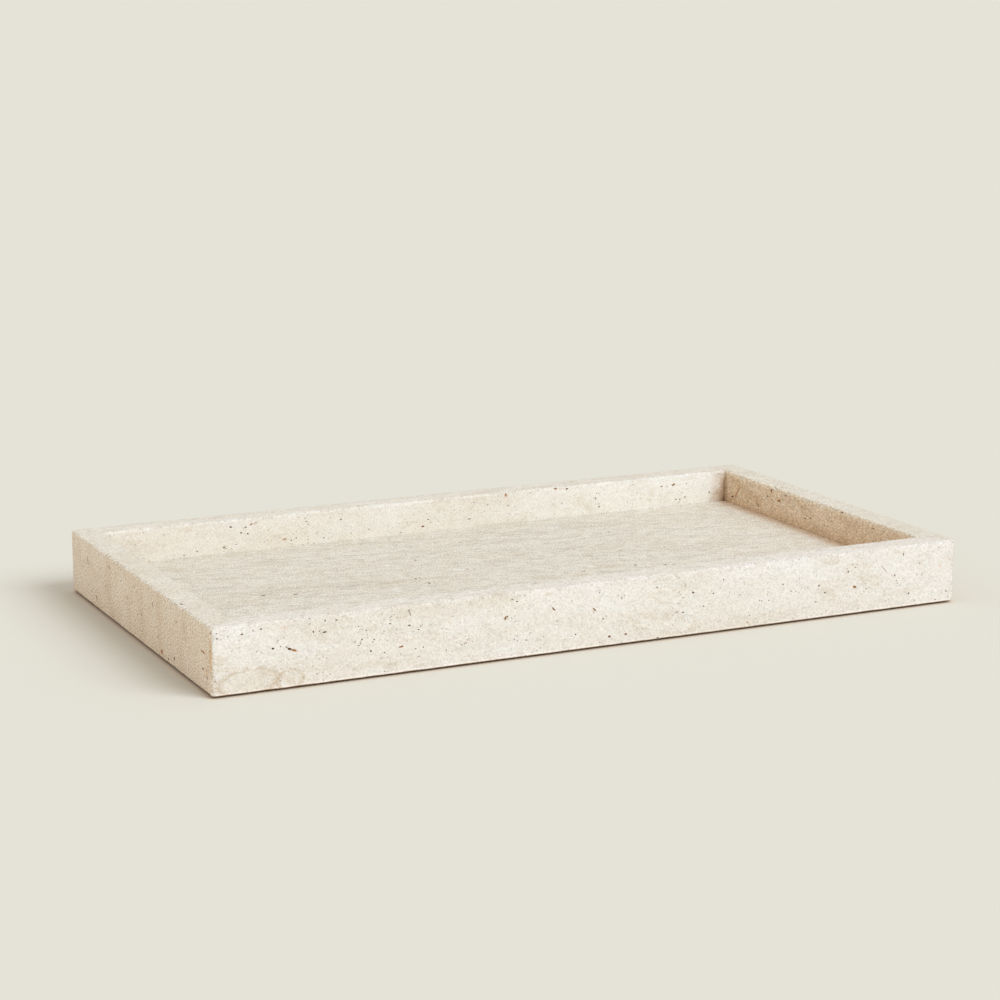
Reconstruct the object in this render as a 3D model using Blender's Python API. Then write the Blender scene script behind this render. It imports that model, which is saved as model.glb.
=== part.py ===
"""Travertine vanity tray: four mitred rim strips bonded round a let-in base slab, on thin pads.

Metres, +Z up. The origin is on the surface that the tray stands on, under its middle.
+X runs along the tray, and the front is towards -Y.
"""

import math

import bmesh
import bpy
from mathutils import Vector

# Overall sizes of the stonework
LENGTH = 0.400
WIDTH = 0.220
STONE_HEIGHT = 0.032

# Sawn strips and slab
RIM_THICKNESS = 0.014
BASE_THICKNESS = 0.014

# Eased edges of the bonded rim
ARRIS_RADIUS = 0.0008
CORNER_RADIUS = 0.0015
ARRIS_STEPS = 3
CORNER_STEPS = 4

# Resin in the joints, set back from every face that shows
BOND_THICKNESS = 0.0004
BOND_SETBACK = 0.0012

# Round pads under the slab's corners
PAD_DIAMETER = 0.012
PAD_THICKNESS = 0.0007
PAD_MARGIN = 0.004
PAD_SIDES = 40

# Space left between two pieces that touch on the real tray
CLEARANCE = 0.0003

# Heights that follow
STONE_BOTTOM = PAD_THICKNESS + CLEARANCE
FLOOR_TOP = STONE_BOTTOM + BASE_THICKNESS
JOINT_WIDTH = BOND_THICKNESS + 2 * CLEARANCE

# The pocket between the strips, and the slab that fills it
POCKET_LENGTH = LENGTH - 2 * RIM_THICKNESS
POCKET_WIDTH = WIDTH - 2 * RIM_THICKNESS
BASE_LENGTH = POCKET_LENGTH - 2 * JOINT_WIDTH
BASE_WIDTH = POCKET_WIDTH - 2 * JOINT_WIDTH

COLLECTION_NAME = "stone_vanity_tray"


def clear_scene():
    for obj in list(bpy.data.objects):
        bpy.data.objects.remove(obj, do_unlink=True)


def make_collection(name):
    collection = bpy.data.collections.new(name)
    bpy.context.scene.collection.children.link(collection)
    return collection


def plain_material(name, colour, roughness, specular):
    material = bpy.data.materials.new(name)
    material.use_nodes = True
    shader = material.node_tree.nodes["Principled BSDF"]
    shader.inputs["Base Color"].default_value = (*colour, 1.0)
    shader.inputs["Roughness"].default_value = roughness
    shader.inputs["Metallic"].default_value = 0.0
    shader.inputs["Specular IOR Level"].default_value = specular
    return material


def floor_stone():
    """Greyer, finely streaked: the slab is sawn along the bedding."""
    return plain_material("floor_stone", (0.70, 0.64, 0.54), 0.62, 0.4)


def face_stone():
    """Cream and cloudy: the long strips."""
    return plain_material("face_stone", (0.80, 0.74, 0.64), 0.60, 0.4)


def end_stone():
    """Warmer and speckled: the end strips, sawn across the bedding."""
    return plain_material("end_stone", (0.74, 0.65, 0.53), 0.65, 0.4)


def joint_resin():
    return plain_material("joint_resin", (0.62, 0.50, 0.34), 0.35, 0.5)


def pad_rubber():
    return plain_material("pad_rubber", (0.10, 0.085, 0.07), 0.80, 0.3)


def link_object(name, mesh, material, collection):
    obj = bpy.data.objects.new(name, mesh)
    mesh.materials.append(material)
    collection.objects.link(obj)
    return obj


def extruded_mesh(name, outlines, height, collection):
    """A mesh of flat closed outlines in XY, filled and extruded evenly about z = 0.

    An outline inside another is a hole.
    """
    curve = bpy.data.curves.new(name, "CURVE")
    curve.dimensions = "2D"
    curve.fill_mode = "BOTH"
    curve.extrude = height / 2
    for outline in outlines:
        spline = curve.splines.new("POLY")
        spline.points.add(len(outline) - 1)
        for point, (x, y) in zip(spline.points, outline):
            point.co = (x, y, 0.0, 1.0)
        spline.use_cyclic_u = True
    guide = bpy.data.objects.new(name + "_guide", curve)
    collection.objects.link(guide)
    bpy.context.view_layer.update()
    graph = bpy.context.evaluated_depsgraph_get()
    mesh = bpy.data.meshes.new_from_object(guide.evaluated_get(graph))
    bpy.data.objects.remove(guide, do_unlink=True)
    bpy.data.curves.remove(curve)
    mesh.name = name

    shape = bmesh.new()
    shape.from_mesh(mesh)
    bmesh.ops.remove_doubles(shape, verts=shape.verts, dist=ARRIS_RADIUS / 100)
    flat_angle = math.radians(0.1)
    bmesh.ops.dissolve_limit(shape, angle_limit=flat_angle, verts=shape.verts, edges=shape.edges)
    bmesh.ops.recalc_face_normals(shape, faces=shape.faces)
    shape.to_mesh(mesh)
    shape.free()
    return mesh


def rectangle(length, width):
    x, y = length / 2, width / 2
    return [(-x, -y), (x, -y), (x, y), (-x, y)]


def strip_outline(length):
    """Plan of one mitred strip, its outer face towards -Y and its middle line on y = 0.

    Each mitre stands back from the corner's diagonal by half the joint's width, measured square to
    it. The corner's easing is an arc about a centre on the diagonal, so that two strips share it.
    """
    outer_y = -RIM_THICKNESS / 2
    inner_y = RIM_THICKNESS / 2
    end_x = length / 2
    mitre_step = JOINT_WIDTH / 2 * math.sqrt(2)

    def mitre_x(y):
        """The mitre's x at this y, for the end at +X."""
        return end_x - (y - outer_y) - mitre_step

    centre = (end_x - CORNER_RADIUS, outer_y + CORNER_RADIUS)
    last_turn = math.pi / 4 - math.asin(JOINT_WIDTH / 2 / CORNER_RADIUS)
    arc = []
    for step in range(CORNER_STEPS + 1):
        turn = -math.pi / 2 + last_turn * step / CORNER_STEPS
        x = centre[0] + CORNER_RADIUS * math.cos(turn)
        y = centre[1] + CORNER_RADIUS * math.sin(turn)
        arc.append((x, y))
    right_end = [*arc, (mitre_x(inner_y), inner_y)]
    left_end = [(-x, y) for x, y in reversed(right_end)]
    return right_end + left_end


def eased_edges(shape):
    """The strip's edges that a hand stone runs along: both top edges and the outer bottom one."""
    found = []
    for edge in shape.edges:
        if len(edge.link_faces) != 2:
            continue
        normals = [face.normal for face in edge.link_faces]
        level = [n for n in normals if abs(n.z) > 0.5]
        upright = [n for n in normals if abs(n.z) < 0.5]
        if len(level) != 1 or len(upright) != 1:
            continue
        side = upright[0]
        on_mitre = side.y > 0.5 and abs(side.x) > 0.5
        against_slab = side.y > 0.5 and level[0].z < 0
        if not on_mitre and not against_slab:
            found.append(edge)
    return found


def make_rim_strip(name, length, across, turn, material, collection):
    """One rim strip, turned about Z from the front. across is the tray's size square to the strip."""
    mesh = extruded_mesh(name, [strip_outline(length)], STONE_HEIGHT, collection)
    shape = bmesh.new()
    shape.from_mesh(mesh)
    bmesh.ops.bevel(
        shape,
        geom=eased_edges(shape),
        offset=ARRIS_RADIUS,
        offset_type="OFFSET",
        segments=ARRIS_STEPS,
        profile=0.5,
        affect="EDGES",
        clamp_overlap=True,
    )
    bmesh.ops.recalc_face_normals(shape, faces=shape.faces)
    shape.to_mesh(mesh)
    shape.free()
    strip = link_object(name, mesh, material, collection)
    inward = across / 2 - RIM_THICKNESS / 2
    strip.location = (
        inward * math.sin(turn),
        -inward * math.cos(turn),
        STONE_BOTTOM + STONE_HEIGHT / 2,
    )
    strip.rotation_euler = (0.0, 0.0, turn)
    return strip


def make_rim(collection):
    long_stone = face_stone()
    short_stone = end_stone()
    quarter = math.pi / 2
    make_rim_strip("front_rim", LENGTH, WIDTH, 0.0, long_stone, collection)
    make_rim_strip("right_rim", WIDTH, LENGTH, quarter, short_stone, collection)
    make_rim_strip("back_rim", LENGTH, WIDTH, 2 * quarter, long_stone, collection)
    make_rim_strip("left_rim", WIDTH, LENGTH, 3 * quarter, short_stone, collection)


def make_base_slab(collection):
    """The square-edged slab, its top the tray's floor."""
    mesh = bpy.data.meshes.new("base_slab")
    shape = bmesh.new()
    bmesh.ops.create_cube(shape, size=1.0)
    bmesh.ops.scale(shape, vec=(BASE_LENGTH, BASE_WIDTH, BASE_THICKNESS), verts=shape.verts)
    shape.to_mesh(mesh)
    shape.free()
    slab = link_object("base_slab", mesh, floor_stone(), collection)
    slab.location.z = FLOOR_TOP - BASE_THICKNESS / 2
    return slab


def make_corner_bonds(material, collection):
    """A thin upright plate of resin on each corner's diagonal."""
    diagonal = RIM_THICKNESS * math.sqrt(2)
    eased = CORNER_RADIUS * (math.sqrt(2) - 1)
    length = diagonal - eased - 2 * BOND_SETBACK
    height = STONE_HEIGHT - 2 * BOND_SETBACK
    from_corner = eased + BOND_SETBACK + length / 2
    inset = from_corner / math.sqrt(2)
    outline = rectangle(length, BOND_THICKNESS)
    for side_name, side in (("front", -1), ("back", 1)):
        for end_name, end in (("left", -1), ("right", 1)):
            name = f"{side_name}_{end_name}_bond"
            mesh = extruded_mesh(name, [outline], height, collection)
            bond = link_object(name, mesh, material, collection)
            bond.location = (
                end * (LENGTH / 2 - inset),
                side * (WIDTH / 2 - inset),
                STONE_BOTTOM + STONE_HEIGHT / 2,
            )
            bond.rotation_euler = (0.0, 0.0, side * end * math.pi / 4)


def make_base_bond(material, collection):
    """The ring of resin between the slab's edge and the strips."""
    ring_length = POCKET_LENGTH - 2 * CLEARANCE
    ring_width = POCKET_WIDTH - 2 * CLEARANCE
    outer = rectangle(ring_length, ring_width)
    inner = rectangle(ring_length - 2 * BOND_THICKNESS, ring_width - 2 * BOND_THICKNESS)
    height = BASE_THICKNESS - 2 * BOND_SETBACK
    mesh = extruded_mesh("base_bond", [outer, inner], height, collection)
    ring = link_object("base_bond", mesh, material, collection)
    ring.location.z = STONE_BOTTOM + BASE_THICKNESS / 2
    return ring


def make_pads(collection):
    """A round pad under each corner of the slab, clear of the joints."""
    material = pad_rubber()
    place = Vector((BASE_LENGTH, BASE_WIDTH)) / 2
    place -= Vector((1, 1)) * (PAD_MARGIN + PAD_DIAMETER / 2)
    for side_name, side in (("front", -1), ("back", 1)):
        for end_name, end in (("left", -1), ("right", 1)):
            name = f"{side_name}_{end_name}_pad"
            mesh = bpy.data.meshes.new(name)
            shape = bmesh.new()
            bmesh.ops.create_cone(
                shape,
                cap_ends=True,
                segments=PAD_SIDES,
                radius1=PAD_DIAMETER / 2,
                radius2=PAD_DIAMETER / 2,
                depth=PAD_THICKNESS,
            )
            shape.to_mesh(mesh)
            shape.free()
            pad = link_object(name, mesh, material, collection)
            pad.location = (end * place.x, side * place.y, PAD_THICKNESS / 2)
            mesh.shade_smooth()
            mesh.set_sharp_from_angle(angle=math.pi / 6)


def main():
    clear_scene()
    tray = make_collection(COLLECTION_NAME)
    resin = joint_resin()
    make_base_slab(tray)
    make_rim(tray)
    make_corner_bonds(resin, tray)
    make_base_bond(resin, tray)
    make_pads(tray)


main()
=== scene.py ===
import math
import random
from collections import namedtuple

import bmesh
import bpy
import numpy as np
from mathutils import Euler, Matrix, Vector, noise


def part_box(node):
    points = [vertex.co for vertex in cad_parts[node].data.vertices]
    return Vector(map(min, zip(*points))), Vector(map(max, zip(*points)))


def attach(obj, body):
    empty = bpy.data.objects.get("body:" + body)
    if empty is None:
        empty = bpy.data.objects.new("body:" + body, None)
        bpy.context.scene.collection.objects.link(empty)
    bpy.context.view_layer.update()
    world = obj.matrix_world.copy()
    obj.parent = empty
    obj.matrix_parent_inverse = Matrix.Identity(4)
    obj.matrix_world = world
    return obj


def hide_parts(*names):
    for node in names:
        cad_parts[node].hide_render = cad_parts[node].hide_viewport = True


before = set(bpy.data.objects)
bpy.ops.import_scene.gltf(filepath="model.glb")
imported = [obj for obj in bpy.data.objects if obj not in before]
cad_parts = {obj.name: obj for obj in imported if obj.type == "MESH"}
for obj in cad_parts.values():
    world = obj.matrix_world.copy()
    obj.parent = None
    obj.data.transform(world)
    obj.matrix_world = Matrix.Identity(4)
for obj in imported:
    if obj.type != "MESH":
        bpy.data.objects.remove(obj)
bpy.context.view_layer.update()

MM = 0.001
ROOT = "root"

# The tray's sizes, read from the frame
FRONT_LOW, FRONT_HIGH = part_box("front_rim")
HALF_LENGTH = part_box("right_rim")[1].x
HALF_WIDTH = -FRONT_LOW.y
RIM = FRONT_HIGH.y - FRONT_LOW.y
STONE_BOTTOM = FRONT_LOW.z
RIM_TOP = FRONT_HIGH.z
FLOOR_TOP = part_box("base_slab")[1].z
UP = Vector((0, 0, 1))
DOWN = Vector((0, 0, -1))

# The camera, fitted to the straight edges in the photograph. Its place is given from the middle of
# the stone's underside: back along the view, then to the right and up.
PICTURE = 1000
SENSOR = 36.0
FOCAL_PIXELS = 2492.9
CAMERA_YAW = math.radians(25.624)
CAMERA_PITCH = math.radians(12.069)
CAMERA_ROLL = math.radians(-0.067)
CAMERA_BACK = 1.2909
CAMERA_RIGHT = -0.00459
CAMERA_UP = 0.04905
CAMERA_NEAR = 0.05

# Light: an even, warm surround and a soft sun. The photograph's backdrop keeps a longer and deeper
# shadow than the tray's own walls cast, so the floor has a sun of its own.
Sun = namedtuple("Sun", "turn height spread on_level")
TRAY_SUN = Sun(math.radians(13), math.radians(46), math.radians(34), (0.24, 0.28, 0.335))
FLOOR_SUN = Sun(math.radians(33.5), math.radians(39.4), math.radians(39), (0.44, 0.48, 0.51))
SURROUND = (0.77, 0.72, 0.665)
BACKGROUND = (0.783, 0.768, 0.679)
FLOOR_SIZE = 120.0

# Painted light: the stone's warm bounced light, painted as tints on the floor round its foot: how
# far each reaches, in mm, and its tint
Glow = namedtuple("Glow", "reach tint")
PAINTED_FOOT_GLOWS = [Glow(3.5, (1.10, 1.005, 0.92)), Glow(50.0, (1.0, 0.983, 0.994))]
FLOOR_DROP = 0.02 * MM

# Finish of the bonded stone. The arrises are eased by hand, so their radii waver along the strip.
ARRIS = 1.4 * MM
LOWER_ARRIS = 0.7 * MM
LEFT_LOWER_ARRIS = 1.1 * MM
INNER_ARRIS = 1.3 * MM
LOWER_INNER_ARRIS = 0.15 * MM
CORNER = 2.2 * MM
ARRIS_STEPS = 4
ARRIS_WAVER = 0.35
ARRIS_WAVE = 9 * MM
ARRIS_NOISE = 3.7
STATION = 3 * MM
END_STATION = 0.25 * MM
END_ZONE = 4 * MM
JOINT = 0.22 * MM
JOINT_RECESS = 0.06 * MM
RESIN = 0.14 * MM
SLAB_JOINT = 0.25 * MM

# Open pores. Each is a ball with swellings, of an amount and a fineness. Larger ones get the finer ball.
Lumps = namedtuple("Lumps", "amount fineness")
BROAD_LUMPS = Lumps(0.34, 1.2)
SMALL_LUMPS = Lumps(0.16, 2.9)
PORE_NOISE = 5.3
FINE_PORE = 0.33 * MM
MOST_LAYERS = 5
MOST_SWELL = 1.5

# Pores that are marked in the photograph: how much larger they are than they look, and how deep, as a
# share of the smaller half size, which counts as MARK_LEAST mm or more
MARK_SWELL = 1.06
MARK_LEAST = 0.45
MARK_DEPTH = 1.3

# Random pores: their size in mm, with its spread as a power of e, and their shape as shares of the
# size, each from least to most. On faces that aren't sawn along the beds, they are narrower.
PoreSize = namedtuple("PoreSize", "usual spread most")
SINGLE_PORE = PoreSize(0.13, 0.55, 0.55)
CLUSTERED_PORE = PoreSize(0.16, 0.6, 0.6)
PORE_LONG = (1.0, 1.9)
PORE_ACROSS = (0.5, 0.95)
PORE_DEEP = (0.8, 1.4)
PORE_SUNK = (-0.1, 0.35)
PORE_TURN = 0.22
PORE_DARK = (0.30, 0.80)
RUST_RARITY = 3
NARROWER = (1.3, 0.6)

# Clusters of pores: half size along and across the beds in mm, and how many pores
CLUSTER_LONG = (2, 7)
CLUSTER_HIGH = (0.6, 2.0)
CLUSTER_COUNT = (4, 12)

# How many single pores and clusters a face has, for a long strip, a marked face and the slab
STRIP_PORES = {"outer": (150, 14), "inner": (90, 9), "top": (60, 6), "bottom": (50, 5)}
MARKED_FACE_PORES = (70, 5)
SLAB_TOP_PORES = (420, 40)
SLAB_BOTTOM_PORES = (200, 20)
STRIP_MARGIN = 1.2 * MM
SLAB_MARGIN = 2 * MM

# Chips on each arris of a long strip: their size in mm, and the rest from least to most
CHIPS = 26
CHIP_SIZE = (0.2, 0.55)
CHIP_SHAPE = (0.8, 1.5)
CHIP_OUT = (0.0, 0.5)
CHIP_TURN = (0, 6)
CHIP_DARK = (0.0, 0.5)
CHIP_INSET = 0.12 * MM

# What starts the random draws of each piece
SEEDS = {"front": 11, "back": 23, "left": 37, "right": 53, "slab": 71}

# Shading and the pads' rolled edge
LEVEL_FACE = 0.9999
SHARP_STONE = math.radians(42)
SHARP_PAD = math.radians(40)
PAD_SIDES = 64
PAD_EDGE = 0.28
PAD_EDGE_STEPS = 3

# The stone's colours
CREAM = (0.875, 0.825, 0.738)
PALE = (0.905, 0.880, 0.825)
BEIGE = (0.745, 0.660, 0.540)
GREY = (0.590, 0.545, 0.465)
END_BROWN = (0.585, 0.415, 0.240)
TAN = (0.660, 0.540, 0.400)
SAND = (0.820, 0.735, 0.600)
# The next colour is also painted shade, in a band along the right wall's foot
SPECK_AND_FOOT_SHADE = (0.400, 0.320, 0.240)
AMBER = (0.640, 0.400, 0.190)
RUST = (0.600, 0.290, 0.095)
BROWN = (0.330, 0.210, 0.125)
# The next colour is painted shade, darkest at the foot of the back wall's right-hand corner
CORNER_SHADE_BROWN = (0.230, 0.155, 0.090)
DARK = (0.165, 0.092, 0.044)
# The next colour is painted shade, browning the underside near its edge so the gap under it looks dark
# brown
UNDERSIDE = (0.310, 0.190, 0.105)

# What the colour is multiplied by
WHITE = (1.0, 1.0, 1.0)
PALER = (1.035, 1.065, 1.115)
BROWNER = (0.851, 0.800, 0.732)
MOTTLE = (0.660, 0.600, 0.540)

# A step of a colour to this power looks equally large on a light and on a dark one.
EVEN_STEP = 0.545

# Clouds of noise: cells per mm along X, Y and Z, then detail, roughness and warp
Cloud = namedtuple("Cloud", "scale detail rough warp", defaults=[0.0])
BENDS = Cloud((0.011, 0.03, 0.045), 2.0, 0.5, 0.4)
RAGGED = Cloud((0.33, 0.33, 0.33), 4.0, 0.65)
BANDS = Cloud((0.006, 0.11, 0.014), 4.0, 0.6)
DRIFTS = Cloud((0.035, 0.045, 0.07), 4.0, 0.6, 0.6)
STREAKS = Cloud((0.035, 0.20, 0.10), 3.0, 0.6)
FLECKS = Cloud((0.18, 0.42, 0.38), 4.0, 0.74)
SPOTS = Cloud((0.65, 0.50, 0.75), 3.0, 0.72)
SPOT_PATCHES = Cloud((0.08, 0.11, 0.11), 3.0, 0.6)
GRAIN = Cloud((1.2, 0.95, 1.2), 3.0, 0.80)
SPECK_PATCHES = Cloud((0.09, 0.12, 0.12), 2.0, 0.55)
CRUSTS = Cloud((0.040, 0.20, 0.075), 4.0, 0.7, 0.4)
CRUST_PATCHES = Cloud((0.05, 0.05, 0.07), 3.0, 0.7)
SHADE_EDGES = Cloud((0.22, 0.22, 0.22), 4.0, 0.7)

# Ramps over these and other values: where they start and end, then what they give there, if that
# isn't 0 and 1
PALE_BANDS = (0.50, 0.64, 0.0, 0.50)
BROWN_BANDS = (0.50, 0.36, 0.0, 0.35)
BROWN_DRIFTS = (0.52, 0.66, 0.0, 0.32)
PALE_DRIFTS = (0.50, 0.34, 0.0, 0.40)
GREY_STREAKS = (0.50, 0.62, 0.0, 0.6)
GREY_FLECKS = (0.52, 0.61)
PALE_FLECKS = (0.47, 0.38)
DARK_SPOTS = (0.54, 0.68)
SPOTTY_AREAS = (0.38, 0.60, 0.25, 1.0)
SPECK_SIZES = (0.30, 1.0, 0.0, 0.30)
SPECK_EDGE = (0.0, 0.06)
SPECKLED_AREAS = (0.44, 0.60, 0.15, 0.70)
CRUST_LINE = (0.050, 0.0, 0.0, 0.26)
CRUSTED_AREAS = (0.52, 0.62)
STAIN_AND_SHADE_EDGE = (1.0, 0.15)
RING_GAPS = (0.40, 0.62)
IN_PORE = (0.0, 0.22)
DEEP_IN_PORE = (0.15, 0.55)
RUSTY_WALL = (0.35, 0.9)
COLOURED_WALL = (0.05, 0.6)
ON_ARRIS = (0.97, 0.80, 1.0, 0.94)
FACING = (0.70, 0.97)
TO_FRONT = (-0.30, -0.70)
FACING_DOWN = (-0.10, -0.60)
NEAR_OUTLINE = (-9.0, -2.0)
MIDDLE_NOISE = (0.3, 0.7)

# How far the beds bend, in mm, the specks' cells per mm, the level of noise that a crust's outline
# follows, and how much of a pore's wall colour shows
BED_BEND = 26.0
SPECK_CELLS = 0.60
CRUST_LEVEL = 0.53
WALL_SHARE = 0.85

# The stone's shine, roughness and bump
STONE_SPECULAR = 0.35
STONE_ROUGH = (0.50, 0.66)
PORE_ROUGHER = 0.2
STONE_BUMP = 0.35
STONE_BUMP_HEIGHT = 0.2 * MM

# A Mix node's sockets for colours, which share their names with others of its sockets
MIX_COLOURS = (6, 7)
MIX_RESULT = 2

# What sets the pieces apart. end is the colour of faces that cut across the beds; on the left and
# right strips it is browner, partly for the end grain and partly as painted warm shade on the faces
# turned from the light. mottling, dashes and grain are how strong these are on the end, long and
# level faces. level_grey greys the level ones, run draws an end face's texture out along it, and
# lean slants the beds, as a rise over X.
STONE_FIELDS = "base end mottling level_grey dashes grain run lean"
Stone = namedtuple("Stone", STONE_FIELDS, defaults=[1.0, (0.0, 0.0)])
FRONT_STONE = Stone(
    base=(0.870, 0.818, 0.736),
    end=CREAM,
    mottling=(0.5, 0.50, 0.25),
    level_grey=0.20,
    dashes=(0.0, 0.11, 0.44),
    grain=(2.4, 0.82, 1.08),
    lean=(0.0, 0.26),
)
BACK_STONE = Stone(
    base=(0.872, 0.818, 0.712),
    end=CREAM,
    mottling=(0.5, 0.40, 0.25),
    level_grey=0.29,
    dashes=(0.0, 0.11, 0.44),
    grain=(2.4, 0.73, 1.08),
)
LEFT_STONE = Stone(
    base=(0.840, 0.784, 0.675),
    # Browner end: partly the end grain, partly painted warm shade for faces turned from the light
    end=(0.828, 0.714, 0.580),
    mottling=(1.00, 0.20, 0.20),
    level_grey=0.26,
    dashes=(0.0, 0.10, 0.12),
    grain=(2.55, 0.80, 1.22),
)
RIGHT_STONE = Stone(
    base=(0.803, 0.751, 0.638),
    # Browner end: partly the end grain, partly painted warm shade for faces turned from the light
    end=(0.753, 0.592, 0.425),
    mottling=(0.90, 0.20, 0.20),
    level_grey=0.20,
    dashes=(0.0, 0.10, 0.12),
    grain=(1.80, 0.80, 1.14),
    run=0.6,
)
FLOOR_STONE = Stone(
    base=(0.826, 0.774, 0.663),
    end=CREAM,
    mottling=(0.2, 0.2, 0.2),
    level_grey=0.28,
    dashes=(0.0, 0.10, 0.74),
    grain=(2.4, 0.80, 2.10),
    lean=(0.18, 0.0),
)

# Resin and rubber: two close colours in clouds, and the least and most roughness
Plain = namedtuple("Plain", "name colours cloud edges rough specular bump")
RESIN_LOOK = Plain(
    name="joint_resin",
    colours=((0.80, 0.73, 0.62), (0.62, 0.50, 0.36)),
    cloud=Cloud((0.3, 0.3, 0.3), 3.0, 0.6),
    edges=(0.35, 0.65),
    rough=(0.35, 0.55),
    specular=0.45,
    bump=0.0,
)
RUBBER_LOOK = Plain(
    name="pad_rubber",
    colours=((0.085, 0.072, 0.060), (0.125, 0.108, 0.090)),
    cloud=Cloud((4.0, 4.0, 4.0), 3.0, 0.6),
    edges=(0.3, 0.7),
    rough=(0.72, 0.88),
    specular=0.3,
    bump=0.5,
)
PLAIN_BUMP_HEIGHT = 0.05 * MM

# Painted light and shade: the stone's colour is multiplied by factor at end, and less so towards
# start, in mm along the axis. on_front keeps it to faces towards the front, and it draws back by
# draw mm for each mm of height.
Shade = namedtuple("Shade", "axis start end factor on_front draw", defaults=[0.0])
WALL = (HALF_LENGTH - RIM) / MM
# How far the painted shade reaches out from the right wall: on the floor, and on the back wall at its
# corner, in mm
WALL_SHADE_REACH = 11.0
CORNER_SHADE_REACH = 17.0
FRONT_SHADES = [
    # Painted light: lighter towards the right
    Shade("X", 40, 150, (1.02, 1.025, 1.04), False),
    # Painted highlight: a pale band on the front face just above its lower arris
    Shade("Z", 2.7, 2.0, (1.13, 1.13, 1.15), True),
]
BACK_SHADES = [
    # Painted light: lighter towards the right
    Shade("X", 20, 150, (1.08, 1.12, 1.17), True),
    # Painted shade: browner and darker towards the right-hand corner, reaching further at the foot
    Shade("X", WALL - CORNER_SHADE_REACH, WALL, (0.61, 0.44, 0.30), True, 0.45),
]
FLOOR_SHADES = [
    # Painted light: lighter towards the right
    Shade("X", 60, 150, (1.04, 1.035, 1.035), False),
    # Painted shade: browner and darker along the right wall's foot
    Shade("X", WALL - WALL_SHADE_REACH, WALL, (0.84, 0.70, 0.59), False),
]

# A side of the rim: its direction, the way in, its half length, the outer face's distance from the
# middle, and the radius of its lower arris
Side = namedtuple("Side", "along inward half across lower")
LONG_SIDE = (HALF_LENGTH, HALF_WIDTH, LOWER_ARRIS)
SHORT_SIDE = (HALF_WIDTH, HALF_LENGTH, LOWER_ARRIS)
LEFT_SIDE = (HALF_WIDTH, HALF_LENGTH, LEFT_LOWER_ARRIS)
SIDES = {
    "front": Side(Vector((1, 0, 0)), Vector((0, 1, 0)), *LONG_SIDE),
    "right": Side(Vector((0, 1, 0)), Vector((-1, 0, 0)), *SHORT_SIDE),
    "back": Side(Vector((-1, 0, 0)), Vector((0, -1, 0)), *LONG_SIDE),
    "left": Side(Vector((0, -1, 0)), Vector((1, 0, 0)), *LEFT_SIDE),
}
CORNERS = {"front": "front_right", "right": "back_right", "back": "back_left", "left": "front_left"}

Pore = namedtuple("Pore", "centre radii turn dark rust")

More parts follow.
